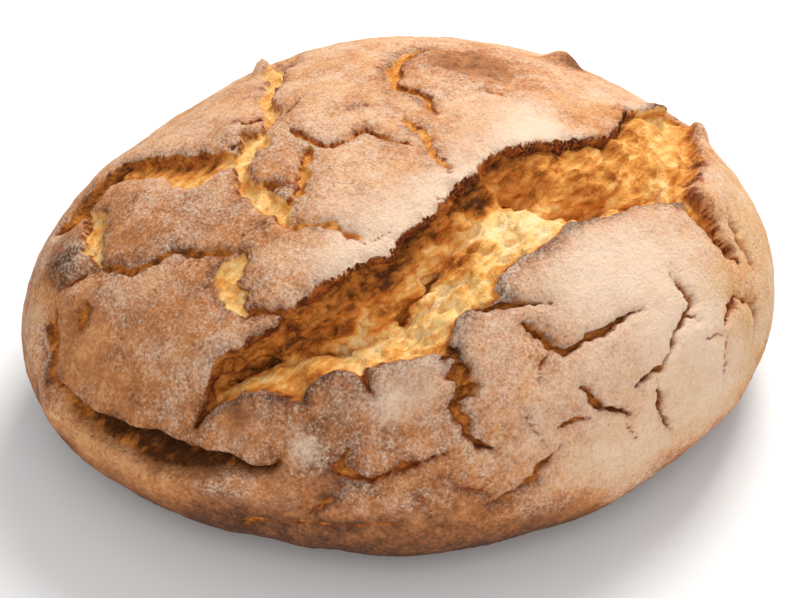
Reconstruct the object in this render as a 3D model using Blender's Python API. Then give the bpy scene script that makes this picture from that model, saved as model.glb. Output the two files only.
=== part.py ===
"""A rustic corn bread baked free on a hearth: one oval loaf with a floured, broken crust.

The loaf is one solid. A ball is stretched to the loaf's base form, which rests on a flat
base. The crust is then broken. A long split runs over the top, where the rear lip has
risen over the crumb, a tear opens low on the left, a shallow valley parts two plates left
of the crown, and cracks part the rest of the crust in plates.

Places on the crust are read as on a tape laid over it from the crown: (right, back), in
millimetres. Courses are lists of such places. Everything else is worked out from them.
"""

import math
import random
from typing import NamedTuple

import bmesh
import bpy
import numpy as np
from mathutils import Vector, noise

MM = 0.001

# Driving dimensions of the base form, in millimetres.
LENGTH = 240.0
WIDTH = 208.0
HEIGHT = 96.0
BELLY_HEIGHT = 30.0
UNDER_DEPTH = 35.0
DOME_FULLNESS = 2.15
UNDER_FULLNESS = 2.6
# How the outline departs from an oval: waves around it, their size and their turn in radians.
OUTLINE_WAVES = ((3, 0.016, 3.28), (4, 0.018, 1.30))
MEAN_REACH = (LENGTH + WIDTH) / 4

# Relief, in millimetres: the size of each kind of swell, how far it rises, and its seed.
CRUST_SWELLS = ((46.0, 1.5, 3), (17.0, 0.7, 5), (7.0, 0.35, 8))
CRUMB_SWELLS = ((13.0, 3.0, 55), (5.0, 1.4, 58))
PLATE_CURLS = (12.0, 1.2, 95)
# Breaks wander: the size of the wander, how far it strays, and its seed.
WANDERS = ((11.0, 1.1, 21), (4.0, 0.9, 34))
CRUST_THICKNESS = 2.8
CRACK_WALL = 0.6
CRACK_TAPER = 6.0
EDGE_ROLL = 0.4
EDGE_ROLL_REACH = 0.9
PLATE_RISE = 0.6
PLATE_RISE_REACH = 5.0
# Behind a raised lip the crust dips, and beside a low lip it curls up.
LIP_DIP_REACH = 13.0
LOW_LIP_CURL = 2.4
LOW_LIP_CURL_REACH = 4.5
RELIEF_FADE_HEIGHT = 9.0

# The mesh: the ball's facets, then finer bands around each break, then the final count.
BALL_SUBDIVISIONS = 6
FINE_BANDS = (7.0, 3.0)
MOST_TRIANGLES = 11800
# Corners lower than this lie in the base's plane, so that the loaf rests on all of them.
BASE_SNAP = 0.3


class Opening(NamedTuple):
    """A wide break where one lip has risen: its two lips and its shape inside.

    Stations give, from left to right, the place along the break, the depth of its
    valley, how far the valley lies from the raised lip, and the far floor's slope.
    The crust behind the raised lip dips a little. The floor is more or less rough.
    """

    raised_lip: tuple
    low_lip: tuple
    stations: tuple
    lip_height: float
    overhang: float
    dip: float
    lean: tuple
    roughness: float


class Crack(NamedTuple):
    """A narrow break: its course, its widths, and its depth.

    The widths are spaced evenly along the course. One side may be soft: the floor climbs
    out over so many millimetres, to the left of the course's way, or to the right where
    the number is negative.
    """

    course: tuple
    widths: tuple
    depth: float
    soft: float = 0.0


SPLIT = Opening(
    raised_lip=(
        (107, 13), (101, 13), (90, 1), (80, 1), (71, -4), (61, -16), (55, -21), (34, -21.5),
        (23, -23), (15, -26), (0, -36), (-4, -40), (-17, -46), (-26, -53), (-33, -52.5),
        (-48, -54), (-64, -59), (-78, -58), (-84, -59), (-97, -71),
    ),
    low_lip=(
        (-97, -71), (-80, -72), (-74, -75), (-64, -85), (-60, -80), (-54, -80.5), (-49, -83.5),
        (-47, -88), (-44, -84), (-26, -88.5), (-22, -91), (-18, -83), (-14, -80), (-8, -80),
        (-2, -78), (-3, -75), (0, -71.5), (10, -67), (16, -66), (26.5, -59.5), (57.5, -52.7),
        (70, -52), (87, -30), (94, -18), (99, -6), (105, 3), (107, 13),
    ),
    stations=(
        (-97, 6, 5, 1.0), (-80, 12, 7, 1.0), (-60, 14, 7, 0.8), (-50, 16, 14, 1.2),
        (-36, 16, 13, 0.9), (-24, 16, 13, 0.75), (-10, 15, 11, 0.55), (4, 14, 12, 0.5),
        (20, 13, 10, 0.4), (28, 12, 22, 0.8), (40, 12, 25, 1.1), (58, 9, 22, 1.1),
        (80, 6, 16, 0.9), (107, 3, 8, 0.8),
    ),
    lip_height=5.0,
    overhang=2.6,
    dip=1.8,
    lean=(0.37, -0.93),
    roughness=1.0,
)

TEAR = Opening(
    raised_lip=(
        (-76, -94), (-79, -97), (-84, -96.5), (-114, -57), (-123, -38), (-130, -17),
    ),
    low_lip=(
        (-130, -17), (-136, -24), (-136, -30), (-131, -50), (-126, -60), (-124, -69), (-113, -80),
        (-87, -98), (-82, -99), (-78, -98), (-76, -94),
    ),
    stations=(
        (-136, 4, 2, 1.0), (-122, 10, 3, 0.9), (-105, 12, 3, 0.9), (-92, 7, 2, 1.1),
        (-76, 2, 1, 1.0),
    ),
    lip_height=3.0,
    overhang=2.2,
    dip=1.8,
    lean=(-0.75, -0.66),
    roughness=0.35,
)

VALLEY = Opening(
    raised_lip=(
        (-45, 11), (-48, 17), (-54, 24), (-58, 27), (-67, 39), (-70, 41), (-75, 48), (-86, 47),
        (-97, 42), (-104, 40),
    ),
    low_lip=(
        (-104, 40), (-96, 27), (-85, 34), (-77, 33), (-67, 21), (-67, 15), (-61, 8), (-57, 7),
        (-53, 9), (-45, 11),
    ),
    stations=((-104, 4, 3, 0.3), (-86, 5, 3, 0.25), (-66, 4, 3, 0.2), (-45, 3, 2, 0.2)),
    lip_height=2.2,
    overhang=1.0,
    dip=0.4,
    lean=(-0.7, -0.7),
    roughness=0.35,
)

OPENINGS = (SPLIT, TEAR, VALLEY)

CROWN_CRACKS = (
    Crack(
        ((-13, 80), (-15, 71), (-20, 63), (-25, 55), (-29, 46), (-31, 36), (-32, 28), (-35, 22)),
        (8, 6, 4.5, 5, 3.5, 3, 4), 3.6, -1.5,
    ),
    Crack(
        ((-35, 22), (-41, 16), (-46, 7), (-49, -3), (-47, -12), (-46, -20), (-47, -28)),
        (5, 11, 7, 4, 4, 6, 5, 3), 3.4, 1.5,
    ),
    Crack(((-33, 27), (-38, 27), (-43, 30)), (2.0, 1.6), 2.6),
    Crack(((-48, -6), (-43, -9), (-39, -13)), (3, 4, 3), 4.0),
    Crack(((-30, 17), (-24, 2), (-19, 1), (-11, 3), (-2, -11)), (2.0, 1.4), 2.8, -1.5),
    Crack(((27, 52), (16, 44), (11, 35), (6, 24), (12, 14), (11, 2)), (2.6, 2.4), 2.6, -3.0),
    Crack(((1, 5), (3, -6), (2, -23), (1, -28)), (2.4, 1.6), 2.4, -2.0),
    Crack(((30, 11), (36, 6)), (1.8, 1.5), 2.2),
    Crack(((-26, 6), (-30, -2), (-34, -7), (-39, -15), (-44, -21)), (1.6, 2.2, 2.6, 4, 4), 2.8, 1.0),
    Crack(((-47, -28), (-36, -34), (-30, -46)), (2.2, 1.8), 2.8),
)

LEFT_CRACKS = (
    Crack(((-91, 31), (-90, 22), (-93, 12), (-96, 2)), (4, 5, 6, 4), 2.8, 1.5),
    Crack(((-95, 1), (-88, -11), (-76, -14), (-70, -22), (-60, -29)), (3, 2), 2.8),
    Crack(((-60, -29), (-66, -34), (-69, -40), (-69, -49)), (5, 5), 3.8, -3.0),
    Crack(((-69, -49), (-60, -54), (-50, -58)), (5, 2), 5.0),
    Crack(((-130, -17), (-126, -13), (-122, -7), (-118, -1), (-113, 2)), (4, 3), 3.5, 6.0),
    Crack(((-99, 3), (-105, 4), (-109, 9)), (3.5, 2), 3.0),
    Crack(((-105, -10), (-111, -12)), (6, 5), 3.2, 4.0),
)

FRONT_CRACKS = (
    Crack(((-47, -83), (-46, -94)), (3, 2), 3.2),
    Crack(((-21, -84), (-20, -100), (-25, -104), (-23, -116), (-19, -120)), (6, 3), 4.0),
    Crack(((-10, -79), (11, -84)), (5, 1.5), 4.0),
    Crack(((-58, -103), (-64, -108), (-57, -115), (-33, -117)), (3.4, 1.6), 3.2),
    Crack(((1, -88), (6, -97), (10, -100), (37, -92)), (3, 1.6), 3.4),
    Crack(((52, -80), (57, -90), (47, -102), (43, -109), (31, -115)), (2, 3), 3.0),
    Crack(((40, -113), (43, -125), (49, -131)), (2.6, 1.8), 2.8),
    Crack(((13, -111), (18, -118), (29, -122)), (3, 2), 3.0),
    Crack(((3, -125), (-8, -133), (-23, -137)), (2.8, 1.6), 2.8),
    Crack(((72, -98), (77, -86), (89, -86), (95, -97)), (2.4, 2), 2.8),
    Crack(((71, -48), (75, -58), (80, -67), (84, -72)), (7, 3), 5.0, -5.0),
    Crack(((86, -52), (88, -64), (93, -75)), (3, 2.4), 2.6),
)

# The far side breaks as the near side does, by a rule: where each crack starts, and its way.
FAR_STARTS = (
    (40, 88, 75), (5, 96, 100), (-45, 92, 130), (82, 60, 40), (-88, 78, 150), (24, 128, 15),
    (-28, 126, 165), (66, 112, 60), (108, 48, 80), (-118, 52, 110),
)
FAR_STEP = 9.0
FAR_TURN = 38.0
FAR_STEPS = (3, 6)

# Plate tips and bulges that stand out of the crust: (right, back), their reach and their rise.
TIPS = (
    (-20.5, 71, 3.5, 5.5), (-11, 78, 3.5, -3), (-78, 53, 8, 1.5), (-76, 41, 2.5, 3),
    (73, 43, 5, 4), (88, 2, 4, 3.5), (101, -4, 4, 3.5), (-41, 27, 6, 1.6), (-107, -3, 6, 2.2),
    (-103, 17, 8, 1.5), (-140, -14, 7, 2.5), (77, -52, 6, 2), (84, -38, 7, 1.5),
)
# Lumps and hollows in the split's crumb, in the same way.
CRUMB_LUMPS = (
    (-1, -54, 5, 4), (-14, -47, 4, 2), (42, -36, 10, 3), (23, -33, 5, -4),
    (-12, -57, 4, -2.5), (-51, -70, 5, -2.5), (-61, -63, 4, -2), (72, -30, 8, 1.5),
)


def clear_scene():
    """Empties the scene."""
    for old in list(bpy.data.objects):
        bpy.data.objects.remove(old, do_unlink=True)


def ease(share):
    """A smooth step from 0 to 1 as the share goes from 0 to 1."""
    share = np.clip(share, 0, 1)
    return share * share * (3 - 2 * share)


def softer_least(first, second, blend):
    """The lesser of two depths, rounded over where they meet."""
    gap = np.clip(0.5 + 0.5 * (second - first) / blend, 0, 1)
    return second + (first - second) * gap - blend * gap * (1 - gap)


def outline_at(level):
    """The base form's share of its full reach, and its height, at a level from -1 to 1."""
    fullness = np.where(level >= 0, DOME_FULLNESS, UNDER_FULLNESS)
    across = np.sqrt(np.clip(1 - level**2, 0, 1))
    reach = across ** (2 / fullness)
    rise = np.abs(level) ** (2 / fullness)
    over = BELLY_HEIGHT + (HEIGHT - BELLY_HEIGHT) * rise
    under = BELLY_HEIGHT - UNDER_DEPTH * rise
    return reach, np.where(level >= 0, over, under)


def base_point(direction):
    """The base form's surface in each direction from its middle."""
    direction = direction / np.linalg.norm(direction, axis=1, keepdims=True)
    reach, height = outline_at(np.clip(direction[:, 2], -1, 1))
    around = np.arctan2(direction[:, 1], direction[:, 0])
    swell = 1 + sum(size * np.cos(count * (around - turn)) for count, size, turn in OUTLINE_WAVES)
    x = LENGTH / 2 * reach * swell * np.cos(around)
    y = WIDTH / 2 * reach * swell * np.sin(around)
    return np.stack((x, y, np.maximum(height, 0)), axis=1)


def base_normal(direction):
    """The base form's outward normal in each direction, from two small steps over it."""
    step = 0.004
    side = np.cross(direction, (0.13, 0.71, 0.69))
    side /= np.linalg.norm(side, axis=1, keepdims=True)
    other = np.cross(direction, side)
    first = base_point(direction + step * side) - base_point(direction - step * side)
    second = base_point(direction + step * other) - base_point(direction - step * other)
    normal = np.cross(first, second)
    return normal / np.maximum(np.linalg.norm(normal, axis=1, keepdims=True), 1e-9)


def tape_table():
    """The angle from the crown and the tape's length to it, over the mean outline."""
    angle = np.linspace(0, math.pi, 2001)
    reach, height = outline_at(np.cos(angle))
    run = np.hypot(np.diff(MEAN_REACH * reach), np.diff(height))
    return angle, np.concatenate(([0.0], np.cumsum(run)))


TAPE_ANGLE, TAPE_LENGTH = tape_table()


def tape_place(direction):
    """The (right, back) place on the tape of each direction."""
    angle = np.arccos(np.clip(direction[:, 2], -1, 1))
    length = np.interp(angle, TAPE_ANGLE, TAPE_LENGTH)
    around = np.arctan2(direction[:, 1], direction[:, 0])
    return np.stack((length * np.cos(around), length * np.sin(around)), axis=1)


def tape_direction(place):
    """The direction of each (right, back) place on the tape."""
    length = np.hypot(place[:, 0], place[:, 1]) + 1e-9
    angle = np.interp(length, TAPE_LENGTH, TAPE_ANGLE)
    sine = np.sin(angle) / length
    return np.stack((sine * place[:, 0], sine * place[:, 1], np.cos(angle)), axis=1)


def swell_noise(points, size, seed):
    """Smooth bumps of one size over the points, from about -1 to 1."""
    start = Vector((seed * 3.7, seed * 1.9, seed * 5.3))
    return np.array([noise.noise(Vector(point) / size + start) for point in points])


def wander(place, points):
    """The places, strayed sideways a little so that straight courses break unevenly."""
    strayed = place.copy()
    for size, stray, seed in WANDERS:
        strayed[:, 0] += stray * swell_noise(points, size, seed)
        strayed[:, 1] += stray * swell_noise(points, size, seed + 1)
    return strayed


def near_course(place, course):
    """Each place's distance from a course, its share of the way along it, and its side.

    The side is 1 to the left of the way and -1 to the right.
    """
    stops = np.array(course, float)
    runs = np.diff(stops, axis=0)
    lengths = np.hypot(runs[:, 0], runs[:, 1])
    travelled = np.concatenate(([0.0], np.cumsum(lengths)))
    distance = np.full(len(place), np.inf)
    share = np.zeros(len(place))
    side = np.ones(len(place))
    for start, run, length, before in zip(stops, runs, lengths, travelled):
        offset = place - start
        part = np.clip(offset @ run / length**2, 0, 1)
        gap = offset - part[:, None] * run
        away = np.hypot(gap[:, 0], gap[:, 1])
        nearer = away < distance
        distance[nearer] = away[nearer]
        share[nearer] = (before + part[nearer] * length) / travelled[-1]
        left = run[0] * offset[:, 1] - run[1] * offset[:, 0] > 0
        side[nearer] = np.where(left, 1, -1)[nearer]
    return distance, share, side


def inside_outline(place, outline):
    """Whether each place lies inside a closed outline."""
    inside = np.zeros(len(place), bool)
    ends = np.roll(np.array(outline, float), -1, axis=0)
    for (x0, y0), (x1, y1) in zip(outline, ends):
        if y0 == y1:
            continue
        crosses = (place[:, 1] < y0) != (place[:, 1] < y1)
        at = x0 + (place[:, 1] - y0) * (x1 - x0) / (y1 - y0)
        inside ^= crosses & (place[:, 0] < at)
    return inside


def leant_back(opening):
    """The raised lip's course before its overhang carries it forward."""
    shift = opening.overhang * np.array(opening.lean)
    return [tuple(np.array(stop) - shift) for stop in opening.raised_lip]


def break_opening(opening, place, points):
    """What an opening does at each place, and the base form's points there.

    Returns its depth, how far the crust moves over it as (right, back), and the
    distance from it.
    """
    raised = leant_back(opening)
    inside = inside_outline(place, raised + list(opening.low_lip))
    from_raised, *_ = near_course(place, raised)
    from_low, *_ = near_course(place, opening.low_lip)
    at, depths, runs, slopes = np.array(opening.stations, float).T
    depth = np.interp(place[:, 0], at, depths)
    run = np.interp(place[:, 0], at, runs)
    slope = np.interp(place[:, 0], at, slopes)
    lip = np.minimum(opening.lip_height, 0.7 * depth)
    rear = lip * ease(from_raised / 1.2) + (depth - lip) * ease((from_raised - 1.2) / run)
    front = CRUST_THICKNESS * ease(from_low / 1.0) + slope * from_low
    sunk = np.where(inside, softer_least(rear, front, 1.4), 0)
    signed = np.where(inside, from_raised, -from_raised)
    reach = opening.overhang
    carried = np.interp(signed, (-18, -7, 0, 1.2, 3.2, 9), (0, 0.25, 1, 1, -0.8, 0)) * reach
    # The overhang fades where the two lips meet, or it would fold over the low lip.
    carried *= ease(from_low / 9.0)
    behind = from_raised / LIP_DIP_REACH
    dip = opening.dip * behind * np.exp(1 - behind) * ease(from_low / 14.0)
    size, change, seed = PLATE_CURLS
    plates = np.clip(0.75 + change * swell_noise(points, size, seed), 0.3, 1.4)
    curl = LOW_LIP_CURL * plates * np.exp(-from_low / LOW_LIP_CURL_REACH) * ease(from_raised / 14.0)
    shift = carried[:, None] * np.array(opening.lean)
    nearer = np.minimum(from_raised, from_low)
    return np.where(inside, sunk, dip - curl), shift, np.where(inside, -nearer, nearer)


def break_crack(crack, place):
    """A crack's depth at each place, and the distance from its edge."""
    distance, share, side = near_course(place, crack.course)
    runs = np.diff(np.array(crack.course, float), axis=0)
    length = np.hypot(runs[:, 0], runs[:, 1]).sum()
    from_end = ease(np.minimum(share, 1 - share) * length / CRACK_TAPER)
    stops = np.linspace(0, 1, len(crack.widths))
    half = np.interp(share, stops, crack.widths) / 2 * (0.45 + 0.55 * from_end)
    soft = abs(crack.soft) * from_end
    across = distance * side * (1 if crack.soft >= 0 else -1)
    from_sharp = half + across
    from_soft = half + soft - across
    open_share = ease(from_sharp / CRACK_WALL) * ease(from_soft / (CRACK_WALL + soft))
    return crack.depth * open_share, np.maximum(-from_sharp, -from_soft)


def far_cracks():
    """Cracks on the far side: each steps on from its start, turning a little each time."""
    chance = random.Random(11)
    for right, back, way in FAR_STARTS:
        course = [(right, back)]
        for _ in range(chance.randint(*FAR_STEPS)):
            way += chance.uniform(-FAR_TURN, FAR_TURN)
            right += FAR_STEP * math.cos(math.radians(way))
            back += FAR_STEP * math.sin(math.radians(way))
            course.append((right, back))
        width = chance.uniform(1.8, 4.0)
        yield Crack(tuple(course), (width, 1.4), 1.4 + 0.6 * width)


CRACKS = (*CROWN_CRACKS, *LEFT_CRACKS, *FRONT_CRACKS, *far_cracks())


def distance_to_breaks(direction):
    """How far each direction's place lies from the edge of the nearest break."""
    place = tape_place(direction)
    points = base_point(direction)
    away = [np.abs(break_opening(opening, place, points)[2]) for opening in OPENINGS]
    away += [np.maximum(break_crack(crack, place)[1], 0) for crack in CRACKS]
    return np.min(away, axis=0)


def relief_of(points, swells):
    """How far a set of swells rises at each point."""
    return sum(rise * swell_noise(points, size, seed) for size, rise, seed in swells)


def rounded(place, bumps):
    """How far a set of round bumps rises at each place."""
    total = np.zeros(len(place))
    for right, back, reach, rise in bumps:
        away = np.hypot(place[:, 0] - right, place[:, 1] - back)
        total += rise * ease(1 - away / (2 * reach))
    return total


def loaf_surface(direction):
    """The finished loaf's surface in each direction from the middle of the ball."""
    points = base_point(direction)
    straight = tape_place(direction)
    place = wander(straight, points)
    sunk = np.zeros(len(points))
    shift = np.zeros((len(points), 2))
    nearest = np.full(len(points), 99.0)
    roughness = np.ones(len(points))
    for opening in OPENINGS:
        depth, carried, away = break_opening(opening, place, points)
        sunk += depth
        shift += carried
        roughness = np.where(away < 0, opening.roughness, roughness)
        nearest = np.minimum(nearest, away)
    crumb = ease((-nearest - 0.3) / 2.5)
    for crack in CRACKS:
        depth, away = break_crack(crack, place)
        sunk = np.where(nearest < -1, sunk, np.maximum(sunk, depth))
        nearest = np.minimum(nearest, away)
    from_edge = np.maximum(nearest, 0)
    lumps = relief_of(points, CRUMB_SWELLS) + rounded(straight, CRUMB_LUMPS)
    relief = relief_of(points, CRUST_SWELLS) * (1 - crumb)
    relief += lumps * roughness * crumb
    relief += PLATE_RISE * (1 - np.exp(-from_edge / PLATE_RISE_REACH))
    relief -= EDGE_ROLL * np.exp(-from_edge / EDGE_ROLL_REACH)
    relief += rounded(straight, TIPS)
    level = ease(points[:, 2] / RELIEF_FADE_HEIGHT)
    moved = tape_direction(straight + level[:, None] * shift)
    lift = ((relief - sunk) * level)[:, None]
    return np.where(points[:, 2:] > 0, base_point(moved) + lift * base_normal(moved), points)


def refined_ball():
    """A ball of small facets, finer in bands around the breaks."""
    ball = bmesh.new()
    bmesh.ops.create_icosphere(ball, subdivisions=BALL_SUBDIVISIONS, radius=1)
    for band in FINE_BANDS:
        direction = np.array([corner.co for corner in ball.verts])
        direction /= np.linalg.norm(direction, axis=1, keepdims=True)
        near = distance_to_breaks(direction) < band
        ball.verts.ensure_lookup_table()
        edges = [edge for edge in ball.edges if all(near[corner.index] for corner in edge.verts)]
        bmesh.ops.subdivide_edges(ball, edges=edges, cuts=1, use_grid_fill=True)
        bmesh.ops.triangulate(ball, faces=ball.faces[:], quad_method="BEAUTY")
        ball.verts.index_update()
    return ball


def crust_material():
    """Baked crust: matt golden brown."""
    material = bpy.data.materials.new("crust")
    material.use_nodes = True
    shader = material.node_tree.nodes["Principled BSDF"]
    shader.inputs["Base Color"].default_value = (0.52, 0.29, 0.14, 1)
    shader.inputs["Roughness"].default_value = 0.85
    shader.inputs["Metallic"].default_value = 0.0
    return material


def thin_out(loaf):
    """Merges the facets that its form can spare, and lays its base flat again."""
    fewer = loaf.modifiers.new("fewer_facets", "DECIMATE")
    fewer.ratio = MOST_TRIANGLES / len(loaf.data.polygons)
    graph = bpy.context.evaluated_depsgraph_get()
    thinned = bpy.data.meshes.new_from_object(loaf.evaluated_get(graph))
    loaf.modifiers.clear()
    loaf.data = thinned
    for corner in thinned.vertices:
        if corner.co.z < BASE_SNAP * MM:
            corner.co.z = 0.0


def make_loaf():
    """The loaf, one closed solid, resting on its flat base at the origin."""
    ball = refined_ball()
    direction = np.array([corner.co for corner in ball.verts])
    direction /= np.linalg.norm(direction, axis=1, keepdims=True)
    surface = loaf_surface(direction)
    low, high = surface.min(axis=0), surface.max(axis=0)
    surface -= ((low[0] + high[0]) / 2, (low[1] + high[1]) / 2, low[2])
    for corner, point in zip(ball.verts, surface * MM):
        corner.co = point
    mesh = bpy.data.meshes.new("loaf")
    ball.to_mesh(mesh)
    ball.free()
    mesh.shade_smooth()
    mesh.materials.append(crust_material())
    loaf = bpy.data.objects.new("loaf", mesh)
    bpy.context.scene.collection.objects.link(loaf)
    thin_out(loaf)
    return loaf


clear_scene()
make_loaf()
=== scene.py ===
"""The looks of a rustic corn bread: an oval hearth loaf with a floured, broken crust.

The loaf's own crust and crumb are one fine mesh. It takes the place of the plain solid and
keeps that solid's form: the same base form, split, tear and cracks, with the relief, the
hairline cracks and the colours that the plain solid leaves out.

Places on the crust are read as on a tape laid over it from the crown: (right, back), in
millimetres. Lengths are millimetres until a mesh is made.
"""

import logging
import math
import random
from collections.abc import Iterator, Sequence
from dataclasses import dataclass, field
from enum import Enum

import bmesh
import bpy
import numpy as np
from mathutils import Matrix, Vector, noise


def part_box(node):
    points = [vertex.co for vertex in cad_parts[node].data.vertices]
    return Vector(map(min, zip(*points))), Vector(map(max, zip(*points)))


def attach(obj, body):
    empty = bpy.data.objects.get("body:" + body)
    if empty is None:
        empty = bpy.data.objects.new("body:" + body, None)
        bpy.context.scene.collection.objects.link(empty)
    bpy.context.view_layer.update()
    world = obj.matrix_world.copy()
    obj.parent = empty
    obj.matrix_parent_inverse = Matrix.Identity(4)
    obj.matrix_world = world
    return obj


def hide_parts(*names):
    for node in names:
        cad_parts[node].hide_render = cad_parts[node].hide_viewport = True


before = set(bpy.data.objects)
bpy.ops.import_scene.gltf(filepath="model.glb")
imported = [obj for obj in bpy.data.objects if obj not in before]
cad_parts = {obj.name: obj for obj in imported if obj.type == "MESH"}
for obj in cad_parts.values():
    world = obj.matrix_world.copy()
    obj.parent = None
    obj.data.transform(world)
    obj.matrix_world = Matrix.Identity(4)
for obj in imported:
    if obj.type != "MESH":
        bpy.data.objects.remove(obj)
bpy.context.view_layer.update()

MM = 0.001
# The split's way over the loaf, in radians from the loaf's length.
SPLIT_TURN = 0.39
# How pale the crumb's toasted high places are, from 0 for brown crust to 1 for cream.
GOLDEN_BROWN = 0.38
# How far each seed moves on through the noise, and where most of a texture's clouds lie.
SEED_STEP = (3.7, 1.9, 5.3)
MOST_CLOUDS = (0.3, 0.7)
# Farther from any break than the loaf is long.
FAR_OFF = 99.0

Array = np.ndarray
Place = tuple[float, float]
Colour = tuple[float, float, float, float]
Socket = bpy.types.NodeSocket
Ball = bmesh.types.BMesh
Amount = Socket | float
Inputs = dict[str | int, Amount | tuple[float, ...]]
# Each swell: the size of its bumps, how far they rise, and its seed.
Swells = tuple[tuple[float, float, int], ...]

log = logging.getLogger("corn_bread")


def ease(share: Array) -> Array:
    """A smooth step from 0 to 1 as the share goes from 0 to 1."""
    share = np.clip(share, 0, 1)
    return share * share * (3 - 2 * share)


def softer_least(first: Array, second: Array, blend: float) -> Array:
    """The lesser of two depths, rounded over where they meet."""
    gap = np.clip(0.5 + 0.5 * (second - first) / blend, 0, 1)
    return second + (first - second) * gap - blend * gap * (1 - gap)


def bumps(points: Array, size: float, seed: float) -> Array:
    """Smooth bumps of one size over the points, from about -1 to 1."""
    start = Vector([seed * step for step in SEED_STEP])
    return np.array([noise.noise(Vector(point) / size + start) for point in points])


def bell(offset: Array, reach: float | Array) -> Array:
    """1 where the offset is nothing, fading to both sides over a reach."""
    return np.exp(-((offset / reach) ** 2))


def patchy(points: Array, size: float, seed: float, plain: float, swing: float,
           low: float, high: float) -> Array:
    """A plain amount that swings in patches of one size, kept between two values."""
    return np.clip(plain + swing * bumps(points, size, seed), low, high)


def near_course(place: Array, course: Sequence[Place]) -> tuple[Array, Array, Array]:
    """Measures places against a course over the crust.

    Args:
        place: the places, one row each.
        course: the course's stops.

    Returns:
        Each place's distance from the course, its share of the way along it, and its
        side: 1 to the left of the way, -1 to the right.
    """
    stops = np.array(course, float)
    runs = np.diff(stops, axis=0)
    lengths = np.hypot(runs[:, 0], runs[:, 1])
    travelled = np.concatenate(([0.0], np.cumsum(lengths)))
    distance = np.full(len(place), np.inf)
    share = np.zeros(len(place))
    side = np.ones(len(place))
    for start, run, length, before in zip(stops, runs, lengths, travelled):
        offset = place - start
        part = np.clip(offset @ run / length**2, 0, 1)
        gap = offset - part[:, None] * run
        away = np.hypot(gap[:, 0], gap[:, 1])
        nearer = away < distance
        distance[nearer] = away[nearer]
        share[nearer] = (before + part[nearer] * length) / travelled[-1]
        left = run[0] * offset[:, 1] - run[1] * offset[:, 0] > 0
        side[nearer] = np.where(left, 1, -1)[nearer]
    return distance, share, side


def toasted(pale: Array, rise: Array) -> Array:
    """How pale crumb is once its high places have toasted, down to a golden brown at most.

    Args:
        pale: how pale the crumb is.
        rise: how far it rises, or sinks below 0.

    Returns:
        How pale it is then.
    """
    above = np.maximum(pale - GOLDEN_BROWN, 0)
    browner = np.minimum(pale, GOLDEN_BROWN) + above * np.exp(-2.2 * rise)
    # Its low places are paler, though brown crumb hardly is.
    paler = pale - rise * np.clip((pale - 0.25) / 0.3, 0.15, 1)
    return np.where(rise > 0, browner, paler)


def stretched(place: Array, points: Array, turn: float, stretch: float) -> Array:
    """The places as a space that is drawn out along one direction over the crust.

    Args:
        place: the places, one row each.
        points: the base form's points there.
        turn: the direction, in radians from the right.
        stretch: how many times as long things get along it.

    Returns:
        A point in that space for each place.
    """
    along = place @ np.array((math.cos(turn), math.sin(turn)))
    across = place @ np.array((-math.sin(turn), math.cos(turn)))
    return np.stack((along / stretch, across, points[:, 2]), axis=1)


def drawn_out(points: Array, turn: float, stretch: float) -> Array:
    """The points as a space that is drawn out along one level direction."""
    along = np.array((math.cos(turn), math.sin(turn), 0.0))
    return points - (points @ along * (1 - 1 / stretch))[:, None] * along


def inside_outline(place: Array, outline: Sequence[Place]) -> Array:
    """Whether each place lies inside a closed outline.

    Args:
        place: the places, one row each.
        outline: its corners in order.

    Returns:
        True or false for each place.
    """
    inside = np.zeros(len(place), bool)
    ends = np.roll(np.array(outline, float), -1, axis=0)
    for (x0, y0), (x1, y1) in zip(outline, ends):
        if y0 == y1:
            continue
        crosses = (place[:, 1] < y0) != (place[:, 1] < y1)
        at = x0 + (place[:, 1] - y0) * (x1 - x0) / (y1 - y0)
        inside ^= crosses & (place[:, 0] < at)
    return inside


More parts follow.
